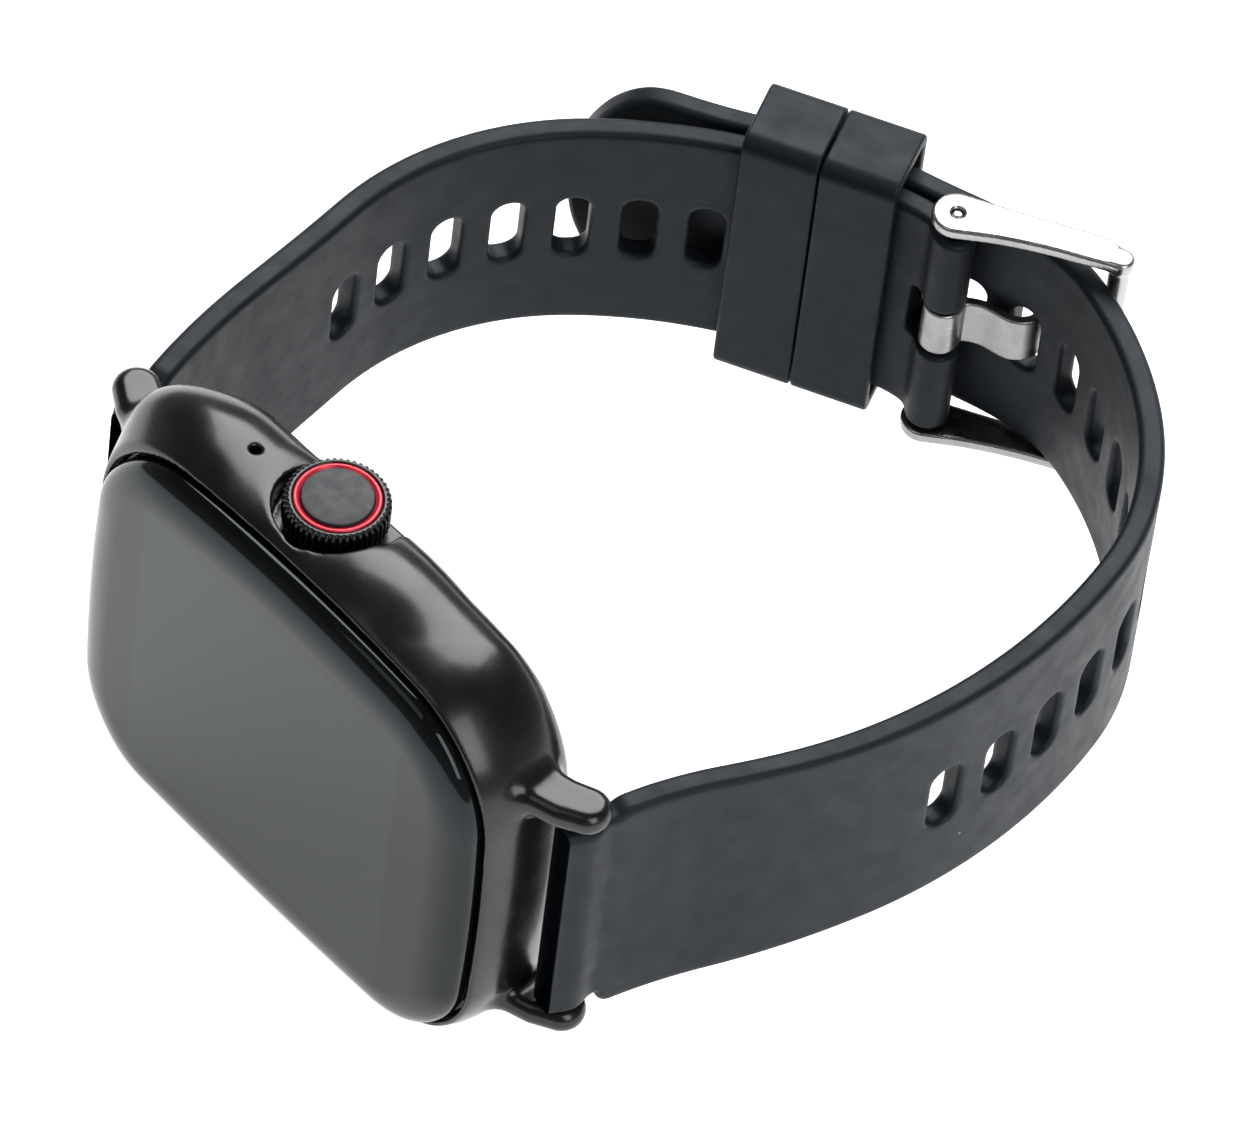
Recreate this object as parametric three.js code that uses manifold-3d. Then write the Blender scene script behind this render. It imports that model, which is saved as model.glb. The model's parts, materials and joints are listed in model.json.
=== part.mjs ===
// A square-faced smartwatch lying on its side with its silicone strap buckled into a loop.
// Millimetres. +Z is the crown side, -Y is the way the screen faces, +X is the 6 o'clock end.
// The strap is laid out around the middle of its width, and the watch head around its own middle.
// The finished group is then moved so that its lowest point is at z = 0 and its box is centred.

import * as THREE from 'three';
import { mergeVertices } from 'three/addons/utils/BufferGeometryUtils.js';
import Module from 'manifold-3d';

const wasm = await Module();
wasm.setup();

// ---------------------------------------------------------------- driving dimensions

// The head sits a little higher than the middle of the strap loop, which sags as it lies.
const HEAD_PLACE = new THREE.Vector3(0.7, 0, 1.2);

// Outline of the glass: a rounded rectangle whose sides swell outwards a little.
const GLASS = { halfLength: 19.5, halfHeight: 16.5, endSwell: 0.5, topSwell: 1.1, lowSwell: 0.3, corner: 7.8 };
const GLASS_FRONT = -4.3;
const GLASS_BACK = -1.9;
const FIT_GAP = 0.3;

// Case, from its front lip to its back face.
const CASE = { front: -2.5, back: 6.8, flare: 1.3, ledge: -0.9, step: 3.6, frontWall: 2.6 };
const BACK_WELL = { halfX: 12.9, halfZ: 9.7, corner: 2 };
const COVER = { front: 6.95, back: 8.05, inset: 4.1 };
const SENSOR_RADIUS = 6;
const SCREW = { x: 13.2, z: 10, shank: 0.5, head: 0.9 };
const CHARGE = { x: 9.2, pinPitch: 2.8, magnetPitch: 8.2 };

// Crown on the +Z side.
const CROWN = { x: -2.7, y: 3.1, radius: 3.8, teeth: 30, bottom: 17.1, top: 19.5, shaft: 0.55 };
const CROWN_POCKET = { radius: 4.5, floor: 16.3 };
const MIC = { x: -10, y: 2, radius: 0.42 };

// Lugs and spring bars. Heights are measured from the middle of the bar.
const LUG = { x: 23.7, y: 3.5, radius: 1.85, inner: 10, outer: 11.9, boreEnd: 10.9 };
const LUG_BAR = { halfTube: 9.6, tipEnd: 10.75 };
const BUCKLE_BAR = { z: 0.45, halfTube: 9.9, tipEnd: 11.5 };
const BAR = { tube: 0.75, bore: 0.5, tip: 0.45, tipLength: 3.1 };

// Straps. Near the head their upper edge rises to meet the lugs.
const STRAP = { thickness: 1.9, halfWidth: 10, rootHalfWidth: 9.7, rootRadius: 1.4, endRadius: 1.6 };
const RISE = { height: 1.2, from: 8, to: 26 };
const HOLE = { height: 6, width: 2.6, pitch: 4.95 };

// Centreline of the buckle-side strap from its lug to the buckle bar: [length, turn in degrees].
const BUCKLE_SIDE_HEADING = 109;
const BUCKLE_SIDE_ARCS = [[14.8, -8.8], [10.3, -1.3], [19.9, -47.1], [24.1, -33.7], [3.9, -26.9]];
const KEEPER_ARC = 3;
// Centreline of the hole-side strap from its lug to where it nears the buckle.
const HOLE_SIDE_HEADING = 82;
const HOLE_SIDE_ARCS = [[11, -12.6], [12.4, 9.6], [23.1, 28.6], [5.6, 16.4], [9.2, 21.2], [12, 22.4]];
const OVERLAP_PITCH = 2.2;
const FREE_END = { after: 0.51, arcs: [[6, -7], [7.6, 16]], rounding: 6.5 };

// Keepers: distances along the buckle-side strap to their middles.
const KEEPER = { near: 65.1, far: 59.27, lean: 4, length: 5.85, halfHeight: 12.3, depth: 6.9, wall: 0.95 };

// Buckle.
const ARM = { inner: 10.75, outer: 11.65 };
const OUTER_BAR = { x: 10.1, y: 66.98, radius: 0.8 };
const TONGUE = { low: -1.8, high: 2.3, thickness: 0.8, loop: 1.45 };

// ---------------------------------------------------------------- materials

function material(color, roughness, metalness) {
  return new THREE.MeshStandardMaterial({ color, roughness, metalness });
}

const casePlastic = () => material(0x121314, 0.32, 0);
const darkPlastic = () => material(0x1a1b1d, 0.5, 0);
const silicone = () => material(0x2b2e32, 0.72, 0);
const glass = () => material(0x15181a, 0.08, 0);
const displayFilm = () => material(0x2a2f30, 0.3, 0);
const sealRubber = () => material(0x0c0c0c, 0.8, 0);
const redPaint = () => material(0xc2303c, 0.35, 0.2);
const capPaint = () => material(0x2a2d32, 0.6, 0);
const steel = () => material(0xc9c9c7, 0.28, 1);
const brushedSteel = () => material(0x8c8a87, 0.4, 1);
const boardGreen = () => material(0x12402a, 0.55, 0);
const foil = () => material(0xb4b8ba, 0.35, 1);
const batteryFoil = () => material(0x9aa0a4, 0.4, 0.8);
const flexAmber = () => material(0x8a5a1c, 0.45, 0);
const gold = () => material(0xd2a84a, 0.3, 1);
const magnetPlate = () => material(0x9c9ea0, 0.3, 1);

// ---------------------------------------------------------------- solids and booleans

function toSolid(geometry) {
  const bare = geometry.index ? geometry.toNonIndexed() : geometry.clone();
  bare.deleteAttribute('normal');
  bare.deleteAttribute('uv');
  const merged = mergeVertices(bare, 1e-4);
  return new wasm.Manifold(new wasm.Mesh({
    numProp: 3,
    vertProperties: new Float32Array(merged.attributes.position.array),
    triVerts: new Uint32Array(merged.index.array),
  }));
}

function toGeometry(solid) {
  const mesh = solid.getMesh();
  const geometry = new THREE.BufferGeometry();
  geometry.setAttribute('position', new THREE.BufferAttribute(new Float32Array(mesh.vertProperties), 3));
  geometry.setIndex(new THREE.BufferAttribute(new Uint32Array(mesh.triVerts), 1));
  return geometry;
}

const joined = (...geometries) => geometries.map(toSolid).reduce((a, b) => a.add(b));
const cut = (solid, ...geometries) => geometries.reduce((a, g) => a.subtract(toSolid(g)), solid);

const group = new THREE.Group();
const head = new THREE.Group();
head.position.copy(HEAD_PLACE);
group.add(head);

function addPart(name, shape, look, parent = group) {
  const geometry = shape.isBufferGeometry ? shape : toGeometry(shape);
  const mesh = new THREE.Mesh(geometry, look());
  mesh.name = name;
  parent.add(mesh);
}

const addHeadPart = (name, shape, look) => addPart(name, shape, look, head);

// ---------------------------------------------------------------- shapes

// Outline of the glass in the x-z plane, moved outwards by `offset`.
function rimOutline(offset) {
  const r = GLASS.corner + offset;
  const cx = GLASS.halfLength - GLASS.corner;
  const cTop = GLASS.halfHeight - GLASS.corner;
  const cLow = -cTop;
  const end = cx + r + 2 * GLASS.endSwell;
  const shape = new THREE.Shape();
  shape.absarc(cx, cTop, r, 0, Math.PI / 2, false);
  shape.quadraticCurveTo(0, cTop + r + 2 * GLASS.topSwell, -cx, cTop + r);
  shape.absarc(-cx, cTop, r, Math.PI / 2, Math.PI, false);
  shape.quadraticCurveTo(-end, 0, -cx - r, cLow);
  shape.absarc(-cx, cLow, r, Math.PI, 1.5 * Math.PI, false);
  shape.quadraticCurveTo(0, cLow - r - 2 * GLASS.lowSwell, cx, cLow - r);
  shape.absarc(cx, cLow, r, 1.5 * Math.PI, 2 * Math.PI, false);
  shape.quadraticCurveTo(end, 0, cx + r, cTop);
  return shape;
}

function roundedRect(x0, y0, x1, y1, r) {
  const shape = new THREE.Shape();
  shape.absarc(x1 - r, y1 - r, r, 0, Math.PI / 2, false);
  shape.absarc(x0 + r, y1 - r, r, Math.PI / 2, Math.PI, false);
  shape.absarc(x0 + r, y0 + r, r, Math.PI, 1.5 * Math.PI, false);
  shape.absarc(x1 - r, y0 + r, r, 1.5 * Math.PI, 2 * Math.PI, false);
  return shape;
}

function polygon(points) {
  return new THREE.Shape(points.map(([x, y]) => new THREE.Vector2(x, y)));
}

function ringShape(outer, inner) {
  outer.holes.push(inner);
  return outer;
}

// ---------------------------------------------------------------- extrusions

// An x-z outline made solid between two depths y0 < y1. A bevel is {along, inset, steps}.
function slabY(shape, y0, y1, bevel = null, curveSegments = 4) {
  const along = bevel ? bevel.along : 0;
  const geometry = new THREE.ExtrudeGeometry(shape, {
    depth: y1 - y0 - 2 * along,
    curveSegments,
    steps: 1,
    bevelEnabled: Boolean(bevel),
    bevelThickness: along,
    bevelSize: bevel ? bevel.inset : 0,
    bevelOffset: bevel ? -bevel.inset : 0,
    bevelSegments: bevel ? bevel.steps : 0,
  });
  geometry.translate(0, 0, along - y1);
  geometry.rotateX(Math.PI / 2);
  return geometry;
}

// A plan (x-y) outline made solid between two heights z0 < z1.
function slabZ(shape, z0, z1, edge = 0, curveSegments = 4) {
  const geometry = new THREE.ExtrudeGeometry(shape, {
    depth: z1 - z0 - 2 * edge,
    curveSegments,
    steps: 1,
    bevelEnabled: edge > 0,
    bevelThickness: edge,
    bevelSize: edge,
    bevelOffset: -edge,
    bevelSegments: 1,
  });
  geometry.translate(0, 0, z0 + edge);
  return geometry;
}

function rodZ(x, y, radius, z0, z1, segments = 16) {
  const geometry = new THREE.CylinderGeometry(radius, radius, z1 - z0, segments);
  geometry.rotateX(Math.PI / 2);
  geometry.translate(x, y, (z0 + z1) / 2);
  return geometry;
}

function rodY(x, z, radius, y0, y1, segments = 16) {
  const geometry = new THREE.CylinderGeometry(radius, radius, y1 - y0, segments);
  geometry.translate(x, (y0 + y1) / 2, z);
  return geometry;
}

function block(x0, x1, y0, y1, z0, z1) {
  const geometry = new THREE.BoxGeometry(x1 - x0, y1 - y0, z1 - z0);
  geometry.translate((x0 + x1) / 2, (y0 + y1) / 2, (z0 + z1) / 2);
  return geometry;
}

// A ring or stepped body turned about a line parallel to Z. The profile is [radius, z] pairs.
function turned(x, y, profile, segments = 20) {
  const geometry = new THREE.LatheGeometry(profile.map(([r, z]) => new THREE.Vector2(r, z)), segments);
  geometry.rotateX(Math.PI / 2);
  geometry.translate(x, y, 0);
  return geometry;
}

const tubeProfile = (inner, outer, z0, z1) => [[inner, z0], [outer, z0], [outer, z1], [inner, z1], [inner, z0]];

// ---------------------------------------------------------------- strap centrelines

// Curves joined end to end.
class ArcPath {
  constructor(pieces) {
    this.pieces = pieces;
    this.lengths = pieces.map((p) => p.getLength());
    this.total = this.lengths.reduce((a, b) => a + b, 0);
  }

  // Point, heading and left-hand normal at distance s from the start.
  at(s) {
    let rest = Math.min(Math.max(s, 0), this.total);
    let i = 0;
    while (i < this.pieces.length - 1 && rest > this.lengths[i]) {
      rest -= this.lengths[i];
      i += 1;
    }
    const u = Math.min(rest / this.lengths[i], 1);
    const point = this.pieces[i].getPointAt(u);
    const tangent = this.pieces[i].getTangentAt(u);
    return { point, tangent, normal: new THREE.Vector2(-tangent.y, tangent.x) };
  }
}

// Arcs are {center, radius, start, sweep}, in radians; a negative sweep turns clockwise.
function arcCurve(arc) {
  return new THREE.EllipseCurve(arc.center.x, arc.center.y, arc.radius, arc.radius,
    arc.start, arc.start + arc.sweep, arc.sweep < 0, 0);
}

// Arcs that follow on smoothly from a start point and heading, one for each [length, turn].
function arcChain(start, headingDegrees, steps) {
  let point = start.clone();
  let heading = THREE.MathUtils.degToRad(headingDegrees);
  return steps.map(([length, turnDegrees]) => {
    const sweep = THREE.MathUtils.degToRad(turnDegrees);
    const radius = Math.abs(length / sweep);
    const side = Math.sign(sweep);
    const toCenter = new THREE.Vector2(-Math.sin(heading), Math.cos(heading)).multiplyScalar(side * radius);
    const center = point.clone().add(toCenter);
    const arc = { center, radius, start: heading - side * Math.PI / 2, sweep };
    heading += sweep;
    const endAngle = arc.start + sweep;
    point = new THREE.Vector2(Math.cos(endAngle), Math.sin(endAngle)).multiplyScalar(radius).add(center);
    return arc;
  });
}

// Closed plan outline of a strip that follows `path` between two distances.
function stripOutline(path, s0, s1, thickness, spacing = 3) {
  const count = Math.max(2, Math.ceil((s1 - s0) / spacing));
  const left = [];
  const right = [];
  for (let i = 0; i <= count; i += 1) {
    const { point, normal } = path.at(s0 + (s1 - s0) * i / count);
    left.push(point.clone().addScaledVector(normal, thickness / 2));
    right.push(point.clone().addScaledVector(normal, -thickness / 2));
  }
  return new THREE.Shape([...right, ...left.reverse()]);
}

// Turns a geometry from local axes (x along the path, y up, z to the right of travel) to a station.
function toStation(geometry, path, s, sideShift = 0) {
  const { point, tangent, normal } = path.at(s);
  const matrix = new THREE.Matrix4().makeBasis(
    new THREE.Vector3(tangent.x, tangent.y, 0),
    new THREE.Vector3(0, 0, 1),
    new THREE.Vector3(-normal.x, -normal.y, 0),
  );
  matrix.setPosition(point.x + normal.x * sideShift, point.y + normal.y * sideShift, 0);
  geometry.applyMatrix4(matrix);
  return geometry;
}

// A slot across the strap, drawn out to cut right through it.
function strapHole(path, s) {
  const r = HOLE.width / 2;
  const shape = roundedRect(-r, -HOLE.height / 2, r, HOLE.height / 2, r - 0.01);
  const geometry = new THREE.ExtrudeGeometry(shape, { depth: 6, curveSegments: 2, bevelEnabled: false });
  geometry.translate(0, 0, -3);
  return toStation(geometry, path, s);
}

const lugPoint = (side) => new THREE.Vector2(HEAD_PLACE.x + side * LUG.x, LUG.y);
const buckleArcs = arcChain(lugPoint(-1), BUCKLE_SIDE_HEADING, BUCKLE_SIDE_ARCS);
const bucklePath = new ArcPath(buckleArcs.map(arcCurve));
const BUCKLE_PIN = bucklePath.at(bucklePath.total).point;
const keeperArc = buckleArcs[KEEPER_ARC];

// The hole-side strap runs from its lug, over the buckle, and then outside the other strap,
// through the keepers. Past them its free end springs out a little.
function holeSidePath() {
  const chain = new ArcPath(arcChain(lugPoint(1), HOLE_SIDE_HEADING, HOLE_SIDE_ARCS).map(arcCurve));
  const from = chain.at(chain.total);
  const covered = arcCurve({
    center: keeperArc.center,
    radius: keeperArc.radius + OVERLAP_PITCH,
    start: keeperArc.start + keeperArc.sweep,
    sweep: -keeperArc.sweep * FREE_END.after,
  });
  const end = new ArcPath([covered]).at(Infinity);
  const heading = THREE.MathUtils.radToDeg(end.tangent.angle());
  const free = arcChain(end.point, heading, FREE_END.arcs).map(arcCurve);
  const to = covered.getPointAt(0);
  const toTangent = covered.getTangentAt(0);
  const reach = from.point.distanceTo(to) * 0.36;
  const bridge = new THREE.CubicBezierCurve(
    from.point,
    from.point.clone().addScaledVector(from.tangent, reach),
    to.clone().addScaledVector(toTangent, -reach),
    to,
  );
  return new ArcPath([...chain.pieces, bridge, covered, ...free]);
}

const holePath = holeSidePath();

// Distance along the hole-side strap at which it passes nearest to a plan point.
function stationNear(path, x, y) {
  const target = new THREE.Vector2(x, y);
  let best = 0;
  for (let s = 0; s <= path.total; s += 0.05) {
    if (path.at(s).point.distanceTo(target) < path.at(best).point.distanceTo(target)) {
      best = s;
    }
  }
  return best;
}

// The hole that the tongue passes through.
const BUCKLED_AT = stationNear(holePath, 4.2, 66);

// ---------------------------------------------------------------- watch case

const screwPlaces = [[-1, -1], [-1, 1], [1, -1], [1, 1]].map(([i, j]) => [i * SCREW.x, j * SCREW.z]);

// Outline of the well behind the battery, made smaller by `inset`.
function wellOutline(inset) {
  const { halfX, halfZ, corner } = BACK_WELL;
  return roundedRect(inset - halfX, inset - halfZ, halfX - inset, halfZ - inset, Math.max(corner - inset, 0.5));
}

// One of the four arms that hold the spring bars: a signX of 1 is the 6 o'clock end.
function lug(signX, signZ) {
  const shape = new THREE.Shape();
  shape.moveTo(16.8, 0.2);
  shape.lineTo(21, 0.2);
  shape.absarc(LUG.x, LUG.y, LUG.radius, -1.3, 1.75, false);
  shape.lineTo(21.2, 5.3);
  shape.lineTo(16.8, 3.4);
  const bore = rodZ(LUG.x, LUG.y, BAR.bore, LUG.inner - 1, LUG.boreEnd, 12);
  const geometry = toGeometry(cut(toSolid(slabZ(shape, LUG.inner, LUG.outer, 0.6, 6)), bore));
  geometry.applyMatrix4(new THREE.Matrix4().makeScale(signX, 1, signZ));
  if (signX * signZ < 0) {
    flipFaces(geometry);
  }
  return geometry;
}

function flipFaces(geometry) {
  const index = geometry.index.array;
  for (let i = 0; i < index.length; i += 3) {
    [index[i + 1], index[i + 2]] = [index[i + 2], index[i + 1]];
  }
}

function ellipsoid(x, y, z, rx, ry, rz) {
  const geometry = new THREE.SphereGeometry(1, 14, 8);
  geometry.scale(rx, ry, rz);
  geometry.translate(x, y, z);
  return geometry;
}

// The hollow that the crown sits in, with a throat that opens towards the glass.
function crownPocket() {
  const throat = polygon([[-6.1, 1.4], [-4.3, -1.5], [-0.1, -1.5], [1.2, 0.8], [1.2, 5], [-6.1, 5]]);
  return [
    rodZ(CROWN.x, CROWN.y, CROWN_POCKET.radius, CROWN_POCKET.floor, 24, 24),
    slabZ(throat, CROWN_POCKET.floor, 24),
  ];
}

function caseBody() {
  const front = slabY(rimOutline(CASE.flare), CASE.front, 12, { along: 3, inset: 0.6, steps: 3 });
  const back = slabY(rimOutline(CASE.flare), -12, CASE.back, { along: 4.8, inset: 5, steps: 4 });
  let body = toSolid(front).intersect(toSolid(back));
  body = body.add(toSolid(ellipsoid(3.7, 1.9, 15, 5.4, 3.8, 3.9)));
  body = cut(body, ...crownPocket());
  for (const signX of [-1, 1]) {
    for (const signZ of [-1, 1]) {
      body = body.add(toSolid(lug(signX, signZ)));
    }
  }
  body = cut(body,
    slabY(rimOutline(FIT_GAP), CASE.front - 6, CASE.ledge),
    slabY(rimOutline(-CASE.frontWall), CASE.ledge - 1, CASE.step),
    slabY(wellOutline(0), CASE.step - 1, CASE.back + 2, null, 4),
    block(CROWN.x - 2.8, CROWN.x + 2.8, 1, CROWN.y + 1.7, 8, 12),
    rodZ(CROWN.x, CROWN.y, 2.2, 11, 15.05, 16),
    rodZ(CROWN.x, CROWN.y, 1.35, 14, 17, 16),
    rodZ(MIC.x, MIC.y, MIC.radius, 12, 22, 12),
  );
  return cut(body, ...screwPlaces.map(([x, z]) => rodY(x, z, SCREW.shank + 0.06, 4.6, 9, 10)));
}

// Front glass: a flat face whose edges roll back to the rim.
function frontGlass() {
  const plate = slabY(rimOutline(0), GLASS_FRONT, 4, { along: 1.6, inset: 3.2, steps: 3 });
  return toSolid(plate).intersect(toSolid(block(-40, 40, -10, GLASS_BACK, -40, 40)));
}

addHeadPart('case_body', caseBody(), casePlastic);
addHeadPart('front_glass', frontGlass(), glass);
addHeadPart('glass_seal', slabY(ringShape(rimOutline(-0.2), rimOutline(-1.8)), -1.6, -1.2), sealRubber);

const displayOutline = roundedRect(-15.2, -13.2, 15.2, 13.2, 3);
addHeadPart('display_panel', slabY(displayOutline, -1.6, -0.15, null, 4), displayFilm);

// ---------------------------------------------------------------- inside the case

function innerFrame() {
  const outline = ringShape(rimOutline(-CASE.frontWall - 0.35), roundedRect(-11, -9.2, 11, 9.2, 1.5));
  return cut(toSolid(slabY(outline, 0.1, 0.6)), block(-18, -15.7, -1, 1.5, 5.6, 9.4));
}

function mainBoard() {
  const outline = polygon([
    [-11, 13.1], [-15.8, 9], [-15.8, 5.6], [1.8, 5.6], [1.8, -13.1],
    [11, -13.1], [15.9, -9], [15.9, 9], [11, 13.1],
  ]);
  return slabY(outline, 0.9, 1.5);
}

function displayFlex() {
  const profile = polygon([
    [-15.3, -1], [-16.4, -1], [-16.4, 1.9], [-14.2, 1.9],
    [-14.2, 1.7], [-16.2, 1.7], [-16.2, -0.8], [-15.3, -0.8],
  ]);
  return slabZ(profile, 5.8, 8.8);
}

function vibrationMotor() {
  return rodY(8.4, -5.6, 3.4, 1.6, 4.3, 20);
}

addHeadPart('inner_frame', innerFrame(), foil);
addHeadPart('main_board', mainBoard(), boardGreen);
addHeadPart('processor_shield', block(3, 14.6, 1.6, 2.8, -1.6, 7.2), foil);
addHeadPart('battery', slabY(roundedRect(-12.6, -9.3, 1.2, 5.2, 1), 0.9, 5, null, 3), batteryFoil);
addHeadPart('vibration_motor', vibrationMotor(), steel);
addHeadPart('microphone', block(MIC.x - 1.6, MIC.x + 1.6, 1.6, 3, 11.2, 12.8), foil);
addHeadPart('display_flex', displayFlex(), flexAmber);

// ---------------------------------------------------------------- back cover and sensor

function backCover() {
  const bevel = { along: 0.6, inset: 0.6, steps: 1 };
  const plate = slabY(rimOutline(-COVER.inset), COVER.front, COVER.back + 0.6, bevel, 5);
  const spigot = slabY(ringShape(wellOutline(0.5), wellOutline(1.5)), 6.2, COVER.front + 0.3, null, 3);
  let cover = toSolid(plate).intersect(toSolid(block(-30, 30, 0, COVER.back, -30, 30)));
  cover = cover.add(toSolid(spigot));
  cover = cut(cover, rodY(0, 0, SENSOR_RADIUS, 5, 10, 24));
  for (const side of [-1, 1]) {
    cover = cut(cover, rodY(CHARGE.x, side * CHARGE.pinPitch / 2, 0.95, 5, 10, 12));
  }
  for (const [x, z] of screwPlaces) {
    cover = cut(cover, rodY(x, z, SCREW.shank + 0.06, 5, 10, 10), rodY(x, z, SCREW.head + 0.08, 7.5, 10, 12));
  }
  return cover;
}

function sensorWindow() {
  const r = SENSOR_RADIUS - 0.08;
  const profile = [[0, 7.1], [r, 7.1], [r, 8.1], [r * 0.8, 8.55], [r * 0.45, 8.8], [0, 8.9]];
  return new THREE.LatheGeometry(profile.map(([a, b]) => new THREE.Vector2(a, b)), 24);
}

function backScrew(x, z) {
  return joined(rodY(x, z, SCREW.shank, 4.9, 7.6, 10), rodY(x, z, SCREW.head, 7.55, 7.98, 12));
}

addHeadPart('back_cover', backCover(), darkPlastic);
addHeadPart('back_seal', slabY(ringShape(wellOutline(0.1), wellOutline(0.4)), 6.3, 6.8, null, 3), sealRubber);
addHeadPart('sensor_window', sensorWindow(), glass);
addHeadPart('sensor_board', rodY(0, 0, 5.4, 6.3, 6.9, 20), boardGreen);
for (const [i, side] of [[1, -1], [2, 1]]) {
  addHeadPart(`charge_pin_${i}`, rodY(CHARGE.x, side * CHARGE.pinPitch / 2, 0.85, 6.2, 8.1, 12), gold);
  const magnet = rodY(CHARGE.x, side * CHARGE.magnetPitch / 2, 1.5, 5.7, 6.8, 16);
  addHeadPart(`charge_magnet_${i}`, magnet, magnetPlate);
}
screwPlaces.forEach(([x, z], i) => addHeadPart(`back_screw_${i + 1}`, backScrew(x, z), steel));

// ---------------------------------------------------------------- crown

function knurledOutline() {
  const points = [];
  for (let i = 0; i < 2 * CROWN.teeth; i += 1) {
    const radius = i % 2 ? CROWN.radius : CROWN.radius - 0.25;
    const angle = i * Math.PI / CROWN.teeth;
    points.push([CROWN.x + radius * Math.cos(angle), CROWN.y + radius * Math.sin(angle)]);
  }
  return polygon(points);
}

function crownKnob() {
  const disc = slabZ(knurledOutline(), CROWN.bottom, CROWN.top, 0.3);
  return cut(toSolid(disc),
    rodZ(CROWN.x, CROWN.y, 3.15, CROWN.top - 0.5, 24, 24),
    rodZ(CROWN.x, CROWN.y, CROWN.shaft + 0.06, CROWN.bottom - 1, CROWN.top - 1.1, 16),
  );
}

function crownClip() {
  const outline = new THREE.Shape();
  outline.absarc(CROWN.x, CROWN.y, 1.2, 0.5, 2 * Math.PI - 0.5, false);
  outline.absarc(CROWN.x, CROWN.y, 0.62, 2 * Math.PI - 0.5, 0.5, true);
  return slabZ(outline, 12.7, 13.1, 0, 8);
}

addHeadPart('crown_knob', crownKnob(), casePlastic);
const ringProfile = tubeProfile(2.62, 3.08, CROWN.top - 0.42, CROWN.top + 0.02);
addHeadPart('crown_ring', turned(CROWN.x, CROWN.y, ringProfile, 24), redPaint);
addHeadPart('crown_cap', rodZ(CROWN.x, CROWN.y, 2.55, CROWN.top - 0.44, CROWN.top + 0.12, 24), capPaint);
addHeadPart('crown_shaft', rodZ(CROWN.x, CROWN.y, CROWN.shaft, 12.1, CROWN.top - 1.2, 16), brushedSteel);
addHeadPart('crown_clip', crownClip(), steel);
addHeadPart('crown_tube', turned(CROWN.x, CROWN.y, [
  [0.65, 13.6], [1.9, 13.6], [1.9, 14.3], [1.25, 14.3], [1.25, 16.2],
  [1.02, 16.2], [1.02, 15.5], [0.65, 15.5], [0.65, 13.6],
], 16), brushedSteel);
addHeadPart('crown_seal', turned(CROWN.x, CROWN.y, tubeProfile(0.6, 0.97, 15.6, 16.1), 16), sealRubber);

const switchHousing = cut(
  toSolid(block(CROWN.x - 2.4, CROWN.x + 2.4, CROWN.y - 1.25, CROWN.y + 1.25, 8, 11)),
  rodZ(CROWN.x, CROWN.y, 0.6, 9, 12, 16),
);
addHeadPart('switch_housing', switchHousing, darkPlastic);
addHeadPart('switch_plunger', rodZ(CROWN.x, CROWN.y, 0.52, 10, 12, 16), darkPlastic);

// ---------------------------------------------------------------- straps

// Lifts the part of a strap that is near the head: its upper edge by the whole rise.
function riseToHead(geometry) {
  const position = geometry.attributes.position;
  for (let i = 0; i < position.count; i += 1) {
    const near = 1 - THREE.MathUtils.smoothstep(position.getY(i), RISE.from, RISE.to);
    const z = position.getZ(i);
    position.setZ(i, z + near * RISE.height * (1 + z / STRAP.halfWidth) / 2);
  }
  return geometry;
}

// A strap from its spring-bar eye to its other end, before any holes.
function strapBlank(path, side) {
  const band = riseToHead(slabZ(stripOutline(path, 2.4, path.total, STRAP.thickness, 3.8),
    -STRAP.halfWidth, STRAP.halfWidth, 0.45));
  const eye = lugPoint(side);
  const low = HEAD_PLACE.z - STRAP.rootHalfWidth;
  const high = HEAD_PLACE.z + STRAP.rootHalfWidth;
  const neck = slabZ(stripOutline(path, 0, 3, STRAP.thickness), low, high);
  const blank = joined(band, neck, rodZ(eye.x, eye.y, STRAP.rootRadius, low, high, 20));
  return cut(blank, rodZ(eye.x, eye.y, BAR.tube + 0.1, -20, 20, 16));
}

function buckleSideStrap() {
  const { x, y } = BUCKLE_PIN;
  const last = bucklePath.total;
  let strap = strapBlank(bucklePath, -1);
  strap = strap.add(toSolid(rodZ(x, y, STRAP.endRadius, -STRAP.halfWidth, STRAP.halfWidth, 20)));
  strap = cut(strap,
    toStation(block(-2.7, 4, TONGUE.low - 0.4, TONGUE.high + 0.4, -3, 3), bucklePath, last),
    rodZ(x, y, BAR.tube + 0.1, -20, 20, 16));
  const first = stationNear(bucklePath, -28.2, 27.3);
  for (let i = 0; i < 8; i += 1) {
    strap = cut(strap, strapHole(bucklePath, first + i * HOLE.pitch));
  }
  return strap;
}

// Trims the corners of the free end to a full, flattened round.
function tipCutter(path) {
  const length = FREE_END.rounding;
  const reach = STRAP.halfWidth - 0.02;
  const outline = new THREE.Shape();
  outline.moveTo(-length, reach);
  outline.absellipse(-length, 0, length, reach, Math.PI / 2, -Math.PI / 2, true);
  outline.lineTo(-length, -14);
  outline.lineTo(6, -14);
  outline.lineTo(6, 14);
  outline.lineTo(-length, 14);
  const geometry = new THREE.ExtrudeGeometry(outline, { depth: 12, curveSegments: 8, bevelEnabled: false });
  geometry.translate(0, 0, -6);
  return toStation(geometry, path, path.total);
}

function holeSideStrap() {
  let strap = cut(strapBlank(holePath, 1), tipCutter(holePath));
  for (let i = -10; i <= 2; i += 1) {
    strap = cut(strap, strapHole(holePath, BUCKLED_AT + i * HOLE.pitch));
  }
  return strap;
}

addPart('buckle_side_strap', buckleSideStrap(), silicone);
addPart('hole_side_strap', holeSideStrap(), silicone);

// ---------------------------------------------------------------- keepers

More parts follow.
